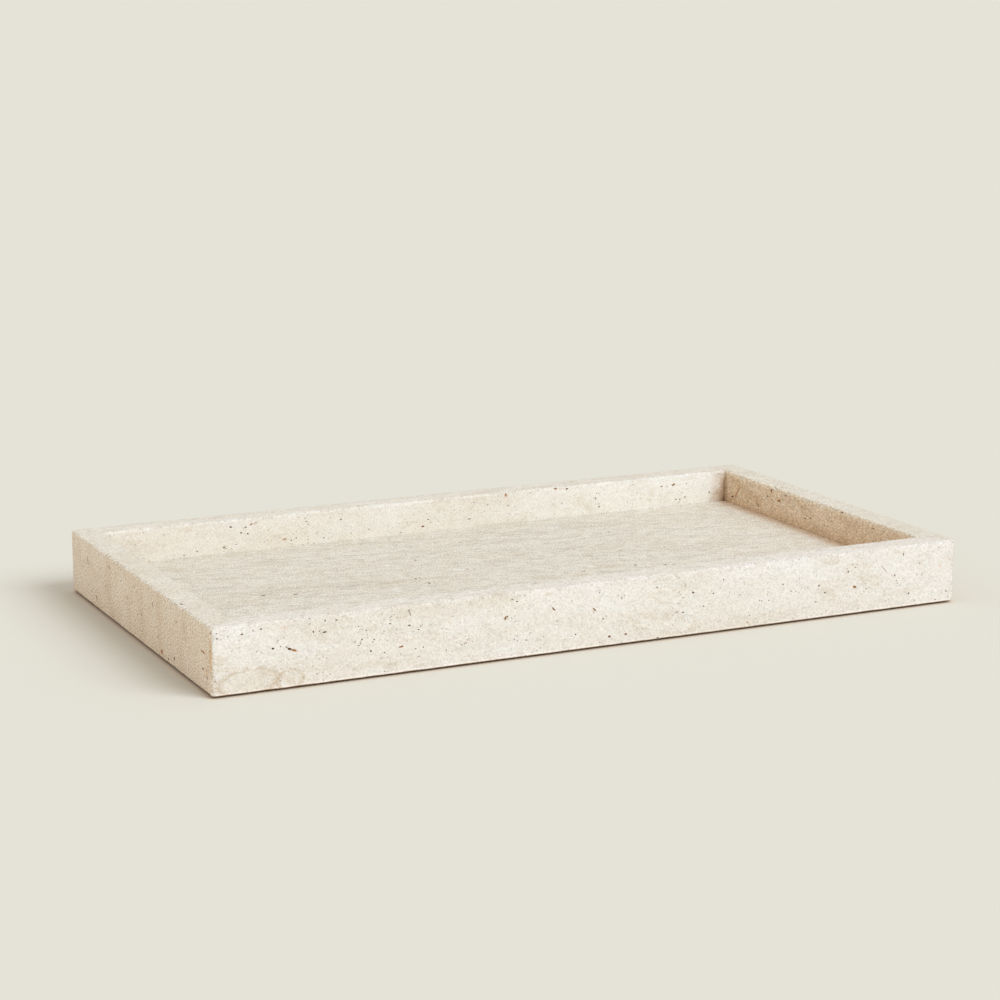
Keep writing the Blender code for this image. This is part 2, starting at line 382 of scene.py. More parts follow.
# What stands out in the photograph, by its pixel: half length and half height in mm as they look
# there, the slant in degrees from level (falling to the right is negative), how dark and how rusty.
Mark = namedtuple("Mark", "x y long tall slant dark rust")
FRONT_MARKS = [Mark(*row) for row in (
    (273.0, 648.7, 0.6, 0.5, 0, 1.0, 0.3),
    (280.7, 646.6, 0.3, 0.25, 0, 0.8, 0.1),
    (289.6, 649.0, 1.0, 0.55, -20, 1.0, 0.4),
    (293.6, 650.2, 1.25, 0.55, -20, 0.2, 1.0),
    (286.6, 647.2, 0.5, 0.25, -30, 0.7, 0.1),
    (261.0, 629.2, 0.5, 0.35, -30, 0.6, 0.0),
    (241.8, 634.5, 0.75, 0.3, 5, 0.6, 0.7),
    (216.8, 639.0, 0.45, 0.3, 0, 0.7, 0.3),
    (216.6, 633.7, 0.3, 0.25, 0, 0.6, 0.2),
    (228.0, 636.4, 0.3, 0.2, 0, 0.4, 0.2),
    (313.4, 631.8, 0.3, 0.65, 10, 0.8, 0.0),
    (319.5, 631.1, 0.25, 0.25, 0, 0.9, 0.1),
    (324.9, 632.2, 0.95, 0.4, 10, 0.8, 0.0),
    (309.4, 618.5, 0.4, 0.3, 20, 0.6, 0.0),
    (309.8, 624.0, 0.45, 0.25, 20, 0.5, 0.0),
    (325.2, 620.8, 0.3, 0.45, 0, 0.8, 0.1),
    (336.4, 620.1, 0.5, 0.35, -25, 0.7, 0.5),
    (358.6, 626.4, 0.3, 0.25, 0, 0.7, 0.2),
    (362.8, 629.2, 0.28, 0.22, -30, 0.6, 0.1),
    (366.4, 630.3, 0.35, 0.25, -20, 0.8, 0.1),
    (362.1, 639.6, 0.35, 0.45, 30, 0.8, 0.1),
    (355.0, 642.1, 0.25, 0.35, 0, 0.6, 0.2),
    (358.6, 645.6, 0.5, 0.2, 0, 0.6, 0.0),
    (370.8, 651.1, 0.45, 0.45, 0, 1.0, 0.3),
    (401.3, 646.7, 1.05, 0.42, 8, 0.5, 1.0),
    (390.1, 623.6, 0.4, 0.3, -20, 0.6, 0.1),
    (408.6, 625.7, 0.22, 0.35, 0, 0.6, 0.1),
    (409.8, 612.9, 1.3, 0.16, -58, 0.2, 0.9),
    (415.8, 648.8, 0.35, 0.3, 20, 0.6, 0.1),
    (423.3, 647.2, 0.35, 0.3, 0, 0.8, 0.1),
    (446.4, 650.0, 0.32, 0.32, 0, 0.8, 0.1),
    (384.5, 652.8, 0.3, 0.28, 0, 0.7, 0.1),
    (512.5, 599.6, 0.35, 0.22, -30, 0.7, 0.0),
    (517.2, 601.6, 0.55, 0.28, 0, 0.8, 0.1),
    (505.4, 618.4, 0.5, 0.9, -25, 0.4, 1.0),
    (507.6, 616.6, 0.4, 0.3, 0, 0.9, 0.4),
    (553.8, 609.1, 1.15, 0.32, -42, 0.5, 0.7),
    (594.4, 609.5, 1.15, 0.34, -45, 0.4, 0.8),
    (603.3, 618.9, 0.4, 0.35, -20, 0.9, 0.3),
    (609.4, 636.5, 0.72, 0.58, -20, 0.6, 0.8),
    (625.6, 634.2, 0.62, 0.48, 0, 0.8, 0.8),
    (575.6, 634.6, 0.32, 0.4, 0, 0.9, 0.2),
    (514.5, 639.2, 0.28, 0.25, 0, 0.8, 0.1),
    (517.4, 640.9, 0.35, 0.25, 0, 0.8, 0.1),
    (526.1, 640.2, 0.32, 0.28, 0, 0.8, 0.1),
    (599.4, 592.6, 0.26, 0.22, 0, 0.8, 0.1),
    (622.0, 597.9, 0.3, 0.28, 0, 0.7, 0.1),
    (657.3, 587.3, 0.42, 0.3, 20, 0.6, 0.5),
    (677.4, 612.2, 0.8, 0.16, 0, 0.5, 0.3),
    (683.1, 612.5, 0.5, 0.35, -20, 0.9, 0.3),
    (703.8, 606.3, 0.3, 0.5, 0, 0.8, 0.2),
    (723.9, 579.7, 0.3, 0.4, 0, 0.6, 0.3),
    (740.0, 595.0, 0.38, 0.3, 30, 0.7, 0.3),
    (759.5, 600.2, 0.35, 0.28, 0, 0.9, 0.1),
    (761.8, 600.9, 0.35, 0.28, 0, 0.8, 0.1),
    (768.9, 600.4, 0.35, 0.28, 20, 0.8, 0.1),
    (749.7, 615.6, 0.32, 0.26, 0, 0.7, 0.1),
    (783.0, 584.4, 0.36, 0.45, 0, 0.9, 0.3),
    (791.0, 591.2, 0.45, 0.22, 0, 0.7, 0.3),
    (799.3, 559.4, 0.25, 0.38, 0, 0.6, 0.2),
    (819.0, 585.8, 0.42, 0.55, -20, 0.6, 0.3),
    (824.8, 592.7, 0.5, 0.36, 0, 0.6, 0.3),
    (815.6, 601.9, 0.75, 0.2, 0, 0.5, 0.2),
    (854.6, 587.0, 0.95, 0.6, -20, 0.3, 1.0),
    (866.1, 588.5, 0.34, 0.3, 0, 0.9, 0.1),
    (855.5, 567.5, 0.4, 0.22, 0, 0.6, 0.1),
    (903.6, 554.3, 0.26, 0.8, 5, 0.8, 0.1),
    (884.4, 569.2, 2.6, 0.12, -50, 0.2, 0.3),
    (894.8, 575.5, 0.42, 0.6, 0, 0.4, 0.4),
    (919.8, 562.9, 0.3, 0.4, 0, 0.6, 0.2),
    (908.6, 593.5, 0.42, 0.6, 0, 0.5, 0.4),
    (945.9, 591.0, 0.45, 0.35, -20, 0.6, 0.6),
    (914.3, 600.2, 0.65, 0.22, 0, 0.4, 0.8),
    (935.0, 599.6, 0.45, 0.2, 0, 0.4, 0.8),
    (657.6, 638.4, 0.75, 0.55, 0, 0.9, 0.2),
    (678.5, 636.2, 0.6, 0.3, 0, 0.6, 0.1),
)]
LEFT_MARKS = [Mark(*row) for row in (
    (87.6, 559.8, 0.3, 1.7, 5, 0.8, 0.1),
    (109.0, 567.8, 0.28, 1.1, 0, 0.7, 0.2),
    (105.8, 586.5, 0.22, 0.7, 0, 0.5, 0.2),
    (100.5, 569.0, 0.22, 0.6, 0, 0.4, 0.2),
    (96.6, 598.0, 0.28, 1.1, 0, 0.8, 0.1),
    (91.8, 591.4, 0.24, 0.6, 0, 0.5, 0.2),
    (127.3, 597.4, 0.2, 0.7, 0, 0.4, 0.2),
    (152.4, 604.7, 0.26, 1.2, 0, 0.7, 0.3),
    (148.8, 608.0, 0.2, 0.6, 0, 0.4, 0.2),
    (133.9, 587.7, 0.22, 0.9, 0, 0.4, 0.3),
    (137.6, 614.6, 0.25, 0.55, 0, 0.8, 0.1),
    (141.5, 615.0, 0.25, 0.55, 0, 0.7, 0.1),
    (161.8, 652.0, 0.55, 0.95, 0, 0.4, 0.9),
    (168.5, 659.2, 0.3, 0.6, 0, 0.7, 0.2),
    (174.3, 658.4, 0.4, 0.8, 30, 0.8, 0.3),
    (203.0, 652.0, 1.2, 0.35, -4, 0.15, 0.9),
    (203.0, 669.0, 0.35, 0.8, 0, 0.4, 0.5),
    (207.0, 678.0, 0.4, 0.6, 0, 0.5, 0.5),
    (157.5, 637.0, 0.25, 0.5, 0, 0.5, 0.2),
    (185.5, 640.0, 0.2, 0.6, 0, 0.4, 0.3),
    (121.0, 581.0, 0.2, 0.5, 0, 0.4, 0.2),
    (176.0, 622.0, 0.22, 0.5, 0, 0.4, 0.2),
)]
BACK_MARKS = [Mark(*row) for row in (
    (230.7, 527.1, 0.65, 0.45, -20, 0.9, 0.3),
    (245.8, 527.3, 0.5, 0.38, 0, 0.8, 0.5),
    (251.1, 524.3, 0.7, 0.38, 20, 0.6, 0.9),
    (255.9, 522.9, 0.5, 0.26, 0, 0.6, 0.4),
    (241.2, 532.9, 0.55, 0.4, -20, 0.9, 0.1),
    (247.7, 533.8, 0.55, 0.42, 0, 0.9, 0.1),
    (306.2, 521.4, 0.45, 0.25, 0, 0.6, 0.0),
    (341.0, 519.4, 0.48, 0.36, 0, 1.0, 0.2),
    (368.8, 529.2, 0.34, 0.3, 0, 0.7, 0.4),
    (323.8, 537.8, 0.42, 0.32, -20, 0.8, 0.5),
    (284.6, 539.2, 0.9, 0.28, 5, 0.5, 1.0),
    (291.3, 540.3, 0.45, 0.32, 0, 0.6, 0.8),
    (236.2, 544.3, 0.35, 0.24, 0, 0.5, 0.3),
    (123.0, 546.6, 0.5, 0.28, -20, 0.6, 0.0),
    (135.4, 545.0, 0.26, 0.24, 0, 0.6, 0.3),
    (184.2, 555.4, 0.42, 0.28, 0, 0.5, 0.4),
    (144.0, 558.0, 0.3, 0.2, 0, 0.5, 0.2),
    (422.9, 526.4, 0.85, 0.42, 8, 0.8, 0.8),
    (430.4, 522.6, 0.34, 0.28, 0, 0.5, 0.6),
    (400.6, 532.4, 0.5, 0.28, 0, 0.7, 0.6),
    (505.8, 494.8, 0.45, 0.75, 0, 0.3, 1.0),
    (508.0, 505.6, 0.35, 0.26, 0, 0.5, 0.6),
    (473.8, 502.4, 0.3, 0.24, 0, 0.6, 0.4),
    (487.6, 504.6, 0.34, 0.26, 0, 0.6, 0.3),
    (555.6, 488.6, 1.0, 0.42, 0, 0.6, 0.9),
    (567.0, 488.9, 0.75, 0.48, 0, 0.6, 0.9),
    (595.4, 498.2, 0.5, 0.44, 20, 0.6, 0.8),
    (633.0, 484.4, 0.34, 0.26, 0, 0.5, 0.5),
    (661.6, 486.4, 0.65, 0.4, 0, 0.7, 0.8),
    (667.2, 486.8, 0.4, 0.26, 0, 0.6, 0.4),
    (673.4, 484.8, 0.95, 0.5, 30, 0.7, 0.9),
    (686.4, 483.8, 0.3, 0.3, 0, 0.5, 0.5),
)]
RIGHT_MARKS = [Mark(*row) for row in (
    (732.4, 496.6, 0.55, 0.55, 0, 1.0, 0.3),
    (737.2, 493.0, 2.1, 0.35, 55, 0.3, 0.9),
    (767.3, 496.2, 0.4, 0.5, 0, 1.0, 0.2),
    (771.3, 490.8, 0.35, 1.1, 20, 0.4, 0.7),
    (778.8, 501.0, 0.7, 0.6, 0, 0.3, 0.8),
    (785.7, 495.8, 0.5, 0.45, 0, 0.4, 0.5),
    (805.3, 518.5, 0.35, 0.4, 0, 0.7, 0.2),
    (810.5, 518.2, 0.38, 0.45, 0, 0.8, 0.2),
    (842.0, 512.6, 0.5, 0.4, 0, 0.8, 0.1),
    (873.0, 528.5, 0.42, 0.32, 0, 0.7, 0.3),
    (801.6, 507.0, 0.32, 0.4, 0, 0.4, 0.4),
    (758.0, 505.0, 0.3, 0.7, 0, 0.4, 0.5),
    (824.0, 525.0, 0.26, 0.4, 0, 0.5, 0.3),
    (774.8, 487.9, 1.5, 0.75, -10, 0.0, 0.0),
    (742.0, 477.4, 1.1, 0.5, -10, 0.0, 0.0),
)]

# Larger tints on the stone's faces, placed the same way: stains, and painted shade and light in
# the corners and along the right wall. One with a width is an old crust's outline.
StainAndShade = namedtuple("StainAndShade", "x y long tall slant strength colour width", defaults=[RUST, None])
STAIN_AND_SHADE_RAGGED = 1.1
RING_RAGGED = 0.7
FRONT_STAINS = [StainAndShade(*row) for row in (
    (294.5, 650.5, 2.4, 0.9, -18, 0.75),
    (284.9, 627.4, 2.0, 1.2, 0, 0.25),
    (401.3, 646.7, 1.8, 0.9, 0, 0.5),
    (506.0, 617.7, 1.6, 1.2, 0, 0.45),
    (553.8, 609.1, 1.8, 0.7, -42, 0.5),
    (594.4, 609.5, 1.8, 0.7, -45, 0.5),
    (549.0, 594.5, 3.0, 1.4, 0, 0.22),
    (854.6, 587.0, 1.7, 1.3, 0, 0.6),
    (694.6, 570.3, 2.4, 1.0, 0, 0.2),
    (940.1, 565.8, 1.4, 2.2, 0, 0.25),
    (625.5, 634.3, 1.2, 0.9, 0, 0.4),
    (249.0, 682.0, 13.0, 6.5, 4, 0.45, BEIGE),
    (248.5, 683.0, 12.6, 6.2, 4, 0.85, TAN, 0.24),
    (290.5, 680.0, 5.5, 3.6, 10, 0.4, BEIGE),
    (290.0, 679.5, 5.6, 4.6, 10, 0.9, TAN, 0.26),
    (283.5, 683.0, 1.8, 3.6, 0, 0.7, PALE),
    (392.0, 664.5, 6.5, 1.7, 5, 0.42, TAN),
    (420.0, 665.0, 3.6, 1.0, 5, 0.5, TAN),
    (425.0, 616.5, 5.0, 0.6, -5, 0.32, TAN),
    (447.0, 629.0, 5.0, 0.6, -12, 0.26, TAN),
    (377.0, 663.0, 13.0, 2.4, 5, 0.45, BEIGE),
    (320.0, 667.5, 12.0, 2.0, 4, 0.32, BEIGE),
    (397.0, 606.5, 8.0, 2.0, -4, 0.3, BEIGE),
    (833.0, 562.5, 8.0, 1.8, 0, 0.26, TAN),
    (906.0, 590.0, 15.0, 1.8, 3, 0.24, TAN),
    (460.0, 648.5, 12.0, 1.4, 3, 0.28, GREY),
)]
LEFT_STAINS = [StainAndShade(*row) for row in (
    (161.8, 652.0, 1.4, 1.8, 0, 0.5),
    (203.0, 652.0, 2.6, 1.1, 0, 0.5),
    (207.0, 672.0, 1.6, 4.0, 0, 0.35),
    (210.4, 657.0, 1.4, 14.0, 0, 0.65, AMBER),
)]
BACK_STAINS_AND_SHADE = [StainAndShade(*row) for row in (
    (284.6, 539.2, 2.0, 0.9, 0, 0.45),
    (505.8, 495.2, 1.3, 1.6, 0, 0.6),
    (253.0, 523.8, 2.4, 1.0, 0, 0.25),
    (422.9, 526.4, 1.6, 0.9, 0, 0.35),
    (673.4, 484.8, 1.6, 1.0, 0, 0.3),
    (561.0, 488.6, 2.6, 0.9, 0, 0.25),
    # Painted shade: browner and darker in the right-hand corner, most at its foot
    (725.6, 490.0, 2.0, 16.0, 0, 0.75, BROWN),
    (724.5, 501.5, 4.5, 5.0, 0, 0.65, CORNER_SHADE_BROWN),
    (112.0, 533.5, 4.0, 1.6, 0, 0.5, PALE),
)]
RIGHT_STAINS_AND_SHADE = [StainAndShade(*row) for row in (
    (735.0, 482.0, 8.0, 4.0, -18, 0.4, END_BROWN),
    (757.0, 497.0, 4.6, 3.6, -10, 0.5, END_BROWN),
    (757.0, 499.0, 5.2, 4.6, -10, 0.6, SAND, 0.24),
    (736.0, 493.5, 3.6, 1.0, 50, 0.6),
    (745.0, 487.0, 4.0, 1.8, 48, 0.5, SAND, 0.34),
    (771.6, 490.6, 1.2, 2.4, 20, 0.55),
    (779.0, 500.6, 1.6, 1.4, 0, 0.55),
    (779.6, 500.4, 2.6, 2.2, 0, 0.65, SAND, 0.36),
    (785.8, 498.2, 1.9, 1.9, 0, 0.5, BROWN, 0.3),
    (793.5, 508.5, 2.4, 1.9, 0, 0.55, SAND, 0.38),
    (806.0, 512.0, 2.2, 2.0, 0, 0.35, BROWN, 0.35),
    (800.0, 504.0, 9.0, 3.5, -18, 0.25, END_BROWN),
    (845.0, 522.0, 12.0, 4.0, -18, 0.3, END_BROWN),
    # Painted shade: darker towards the corner with the back wall
    (725.4, 492.0, 1.4, 17.0, 0, 0.45, BROWN),
    (774.8, 488.2, 2.2, 1.1, -10, 0.9, PALE),
    (742.0, 477.6, 1.6, 0.9, -10, 0.8, PALE),
    # Painted shade: browner and darker towards the wall's foot, darkest in a band right at it
    (783.0, 524.5, 130.0, 11.0, 0, 0.45, END_BROWN),
    (783.0, 525.5, 110.0, 2.6, 0, 0.9, SPECK_AND_FOOT_SHADE),
    # Painted light: a paler band along the wall's top
    (814.5, 502.6, 130.0, 2.8, 0, 0.6, SAND),
    (747.0, 492.5, 9.0, 5.5, -18, 0.5, END_BROWN),
)]
LEFT_TOP_MARKS = [Mark(*row) for row in (
    (181.2, 604.1, 0.55, 1.6, 0, 0.7, 0.6),
    (184.0, 604.8, 0.35, 1.0, 0, 0.6, 0.2),
)]
RIGHT_TOP_MARKS = [Mark(*row) for row in (
    (781.9, 487.1, 0.45, 1.1, 0, 0.7, 0.2),
    (785.5, 487.9, 0.3, 0.8, 0, 0.5, 0.2),
)]
FLOOR_MARKS = [Mark(*row) for row in (
    (415.6, 578.5, 0.5, 1.5, 0, 0.6, 0.2),
    (419.0, 577.6, 0.35, 1.0, 0, 0.4, 0.2),
    (429.0, 583.0, 0.6, 1.5, 0, 0.6, 0.5),
    (573.7, 548.8, 0.45, 1.3, 0, 0.6, 0.2),
    (263.0, 595.6, 1.3, 1.0, 0, 0.5, 0.1),
    (295.1, 594.3, 1.3, 1.0, 0, 0.5, 0.1),
    (467.2, 569.2, 0.6, 1.2, 0, 0.3, 0.6),
    (473.5, 569.0, 0.45, 1.0, 0, 0.3, 0.4),
    (460.0, 542.4, 0.7, 1.0, 0, 0.4, 0.2),
    (690.0, 536.0, 0.45, 1.3, 0, 0.5, 0.2),
    (620.0, 550.3, 1.0, 0.9, 0, 0.3, 0.2),
    (589.4, 555.3, 2.2, 0.7, -8, 0.3, 0.1),
    (583.8, 571.1, 0.9, 1.2, 0, 0.3, 0.3),
    (635.0, 565.0, 0.9, 1.4, 0, 0.3, 0.3),
    (665.0, 564.6, 0.9, 1.2, 0, 0.3, 0.3),
    (673.8, 564.4, 1.0, 1.0, 0, 0.2, 0.3),
    (608.8, 531.8, 0.5, 1.2, 0, 0.4, 0.2),
    (664.4, 546.8, 0.7, 1.0, 0, 0.3, 0.2),
    (353.0, 585.6, 4.5, 0.5, 6, 0.3, 0.1),
    (361.3, 559.5, 2.4, 0.8, 0, 0.2, 0.2),
    (415.0, 560.1, 0.8, 1.2, 0, 0.3, 0.2),
)]
FLOOR_STAINS = [StainAndShade(*row) for row in (
    (395.0, 582.5, 11.0, 4.0, 0, 0.3, END_BROWN),
    (327.2, 572.3, 3.0, 2.0, 0, 0.8, PALE),
    (458.5, 569.6, 4.0, 2.4, 0, 0.9, PALE),
    (432.0, 556.0, 5.0, 2.0, 3, 0.7, PALE),
    (472.0, 560.0, 7.0, 9.0, 0, 0.3, PALE),
    (405.0, 602.0, 16.0, 1.6, 4, 0.4, END_BROWN),
    (606.0, 566.5, 17.0, 7.0, -10, 0.24, END_BROWN),
    (652.0, 564.5, 12.0, 5.0, -10, 0.18, END_BROWN),
    (578.0, 575.0, 8.0, 3.5, -10, 0.22, END_BROWN),
    (640.0, 537.5, 17.0, 7.0, -10, 0.15, END_BROWN),
    (355.0, 585.5, 9.0, 2.2, -8, 0.45, GREY),
    (617.0, 562.5, 9.0, 1.5, -10, 0.5, PALE),
    (360.0, 575.0, 9.0, 1.5, -8, 0.4, PALE),
    (579.5, 537.8, 1.6, 1.8, 0, 0.85, PALE),
    (586.3, 536.2, 1.8, 1.6, 0, 0.75, PALE),
    (612.0, 558.0, 1.8, 1.8, 0, 0.75, PALE),
    (591.5, 566.5, 3.0, 3.0, 0, 0.8, PALE),
    (648.5, 565.0, 2.2, 2.6, 0, 0.7, PALE),
    (387.5, 565.2, 3.0, 1.6, 0, 0.85, PALE),
    (371.9, 559.6, 2.6, 1.4, 0, 0.75, PALE),
    (323.0, 594.8, 2.8, 1.6, 0, 0.75, PALE),
    (398.8, 591.4, 2.0, 1.6, 0, 0.7, PALE),
)]

# What each strip is made of. The first list of marks belongs to the face that takes the tints.
STRIPS = {
    "front": ({"outer": FRONT_MARKS}, FRONT_STAINS, FRONT_STONE, FRONT_SHADES, "face_stone"),
    "back": ({"inner": BACK_MARKS}, BACK_STAINS_AND_SHADE, BACK_STONE, BACK_SHADES, "face_stone"),
    "left": ({"outer": LEFT_MARKS, "top": LEFT_TOP_MARKS}, LEFT_STAINS, LEFT_STONE, [], "end_stone"),
    "right": ({"inner": RIGHT_MARKS, "top": RIGHT_TOP_MARKS}, RIGHT_STAINS_AND_SHADE, RIGHT_STONE, [], "end_stone"),
}


# Camera

def camera_axes():
    """The view's right, up and forward directions, and where the eye is."""
    forward = Vector((
        math.sin(CAMERA_YAW) * math.cos(CAMERA_PITCH),
        math.cos(CAMERA_YAW) * math.cos(CAMERA_PITCH),
        -math.sin(CAMERA_PITCH),
    ))
    level = Vector((math.cos(CAMERA_YAW), -math.sin(CAMERA_YAW), 0.0))
    upright = level.cross(forward)
    right = level * math.cos(CAMERA_ROLL) + upright * math.sin(CAMERA_ROLL)
    up = upright * math.cos(CAMERA_ROLL) - level * math.sin(CAMERA_ROLL)
    eye = -forward * CAMERA_BACK + level * CAMERA_RIGHT + upright * CAMERA_UP
    eye.z += STONE_BOTTOM
    return right, up, forward, eye


def make_camera():
    right, up, forward, eye = camera_axes()
    data = bpy.data.cameras.new("camera")
    data.sensor_width = SENSOR
    data.lens = SENSOR * FOCAL_PIXELS / PICTURE
    data.clip_start = CAMERA_NEAR
    data.clip_end = 4 * FLOOR_SIZE
    camera = bpy.data.objects.new("camera", data)
    bpy.context.scene.collection.objects.link(camera)
    turn = Matrix((right, up, -forward)).transposed()
    camera.matrix_world = Matrix.Translation(eye) @ turn.to_4x4()
    bpy.context.scene.camera = camera


def seen_at(x, y, point, normal):
    """Where the line of sight through a pixel meets the plane through point."""
    right, up, forward, eye = camera_axes()
    middle = PICTURE / 2
    ray = forward * FOCAL_PIXELS + right * (x - middle) - up * (y - middle)
    return eye + ray * ((point - eye).dot(normal) / ray.dot(normal))


def shortening(level):
    """How long a level length in this direction looks, as a share."""
    return abs(level.dot(camera_axes()[0]))


def slanted_axes(normal, slant):
    """A face's level direction turned by a slant in degrees, and the direction square to it."""
    if abs(normal.z) > 0.5:
        level, rise = Vector((1, 0, 0)), Vector((0, 1, 0))
    else:
        level, rise = UP.cross(normal).normalized(), UP
    turn = math.radians(slant)
    first = level * math.cos(turn) + rise * math.sin(turn)
    return level, first, normal.cross(first)


# Stone shapes

def new_object(name, mesh):
    piece = bpy.data.objects.new(name, mesh)
    bpy.context.scene.collection.objects.link(piece)
    return piece


def finished_mesh(name, shape):
    mesh = bpy.data.meshes.new(name)
    shape.to_mesh(mesh)
    shape.free()
    return mesh


def lofted_mesh(name, rings, closed=False):
    """A skin over rings of points. If closed it goes round to the first ring, if not it is capped."""
    shape = bmesh.new()
    rings = [[shape.verts.new(point) for point in ring] for ring in rings]
    following = rings[1:] + rings[:1] if closed else rings[1:]
    for first, second in zip(rings, following):
        for k in range(len(first)):
            n = (k + 1) % len(first)
            shape.faces.new((first[k], first[n], second[n], second[k]))
    if not closed:
        shape.faces.new(rings[0])
        shape.faces.new(rings[-1])
    bmesh.ops.recalc_face_normals(shape, faces=shape.faces)
    return finished_mesh(name, shape)


def strip_section(radii):
    """Points round a strip's section, as (inset from its outer face, height)."""
    points = []
    for k, radius in enumerate(radii):
        inset = radius if k in (0, 1) else RIM - radius
        height = RIM_TOP - radius if k in (1, 2) else STONE_BOTTOM + radius
        for step in range(ARRIS_STEPS + 1):
            turn = math.radians(270 - 90 * k - 90 * step / ARRIS_STEPS)
            points.append((inset + radius * math.cos(turn), height + radius * math.sin(turn)))
    return points


def stations(half):
    """Places along a strip, closer together near its ends."""
    middle = half - END_ZONE
    coarse = np.linspace(-middle, middle, int(2 * middle / STATION))
    fine = np.arange(middle + END_STATION, half, END_STATION)
    return np.concatenate([[-half], -fine[::-1], coarse, fine, [half]])


def place_on_side(side, x, inset, height):
    point = side.along * x + side.inward * (inset - side.across)
    return Vector((point.x, point.y, height))


def strip_row(side, x, seed):
    """One ring of points round a strip, with the hand-eased arrises a little uneven."""
    half = side.half
    fade = min(1.0, (half - abs(x)) / END_ZONE)
    lower = LOWER_ARRIS + (side.lower - LOWER_ARRIS) * fade
    radii = []
    for k, radius in enumerate((lower, ARRIS, INNER_ARRIS, LOWER_INNER_ARRIS)):
        wave = noise.noise(Vector((x / ARRIS_WAVE, seed, ARRIS_NOISE * k)))
        radii.append(radius * (1 + ARRIS_WAVER * wave * fade))
    row = []
    step = JOINT / 2 * math.sqrt(2)
    for inset, height in strip_section(radii):
        reach = half - inset - step
        px, py = x / half * reach, inset
        away = Vector((abs(px) - (half - CORNER), inset - CORNER))
        limit = CORNER - inset
        if inset <= max(radii[:2]) and away.x > 0 and away.length > limit:
            away *= limit / away.length
            px = math.copysign(half - CORNER + away.x, px)
            py = CORNER + away.y
        row.append(place_on_side(side, px, py, height))
    return row


def strip_mesh(name, side, seed):
    """A full-height rim strip with mitred ends and eased arrises."""
    return lofted_mesh(name, [strip_row(side, x, seed) for x in stations(side.half)])


def slab_mesh(name):
    """The let-in slab, up to its thin joint with the strips."""
    shape = bmesh.new()
    bmesh.ops.create_cube(shape, size=1.0)
    size = Vector((
        2 * (HALF_LENGTH - RIM - SLAB_JOINT),
        2 * (HALF_WIDTH - RIM - SLAB_JOINT),
        FLOOR_TOP - STONE_BOTTOM,
    ))
    bmesh.ops.scale(shape, vec=size, verts=shape.verts)
    middle = Vector((0, 0, (FLOOR_TOP + STONE_BOTTOM) / 2))
    bmesh.ops.translate(shape, vec=middle, verts=shape.verts)
    return finished_mesh(name, shape)


# Pores

def ball(subdivisions):
    """The points and faces of a round ball."""
    shape = bmesh.new()
    bmesh.ops.create_icosphere(shape, subdivisions=subdivisions, radius=1.0)
    points = [v.co.copy() for v in shape.verts]
    faces = [[v.index for v in f.verts] for f in shape.faces]
    shape.free()
    return points, faces


COARSE_BALL = ball(1)
FINE_BALL = ball(2)


def overlap_free_layers(pores):
    """Sorts the pores into layers in which none touches another. Some may not fit anywhere."""
    layers = [[] for _ in range(MOST_LAYERS)]
    for pore in pores:
        reach = max(pore.radii) * MOST_SWELL
        for layer in layers:
            if all((pore.centre - other.centre).length > reach + far for other, far in layer):
                layer.append((pore, reach))
                break
    return [[pore for pore, _ in layer] for layer in layers if layer]


def bulge(point, offset, lumps):
    return lumps.amount * noise.noise(point * lumps.fineness + offset)


def store(mesh, name, values):
    attribute = mesh.attributes.new(name, "FLOAT", "POINT")
    attribute.data.foreach_set("value", values)


def make_slots(mesh):
    """Slot 0 is for the stone's own faces and slot 1 for the pores' walls."""
    for _ in range(2):
        mesh.materials.append(None)


def pore_mesh(pores):
    """One closed lump for each pore, uneven all round."""
    points, faces, dark, rust = [], [], [], []
    for pore in pores:
        ball_points, ball_faces = FINE_BALL if max(pore.radii) > FINE_PORE else COARSE_BALL
        offset = pore.centre / MM * PORE_NOISE
        first = len(points)
        for v in ball_points:
            swell = 1 + bulge(v, offset, BROAD_LUMPS) + bulge(v, offset, SMALL_LUMPS)
            local = Vector((v.x * pore.radii[0], v.y * pore.radii[1], v.z * pore.radii[2])) * swell
            points.append(pore.centre + pore.turn @ local)
        faces.extend([first + i for i in f] for f in ball_faces)
        dark.extend([pore.dark] * len(ball_points))
        rust.extend([pore.rust] * len(ball_points))
    mesh = bpy.data.meshes.new("pores")
    mesh.from_pydata(points, [], faces)
    store(mesh, "dark", dark)
    store(mesh, "rust", rust)
    make_slots(mesh)
    mesh.polygons.foreach_set("material_index", [1] * len(mesh.polygons))
    return mesh


def open_pores(piece, pores):
    """Cuts the pores out of the piece, layer by layer."""
    make_slots(piece.data)
    for layer in overlap_free_layers(pores):
        cutter = new_object("pore_cutter", pore_mesh(layer))
        cut = piece.modifiers.new("pores", "BOOLEAN")
        cut.operation = "DIFFERENCE"
        cut.solver = "MANIFOLD"
        cut.object = cutter
        bpy.context.view_layer.update()
        graph = bpy.context.evaluated_depsgraph_get()
        mesh = bpy.data.meshes.new_from_object(piece.evaluated_get(graph))
        piece.modifiers.clear()
        if len(mesh.polygons) <= len(piece.data.polygons):
            raise RuntimeError(f"the pores weren't cut from {piece.name}")
        piece.data = mesh
        used = cutter.data
        bpy.data.objects.remove(cutter)
        bpy.data.meshes.remove(used)


def face_radii(normal, long, across, deep):
    """Half sizes of a pore along X, Y and Z. The bedding lies along X and Z."""
    if abs(normal.y) > 0.5:
        return long, deep, across
    if abs(normal.x) > 0.5:
        return deep, across, long
    return long, across, deep


def random_size(rng, size):
    return MM * min(size.most, size.usual * math.exp(abs(rng.gauss(0, size.spread))))


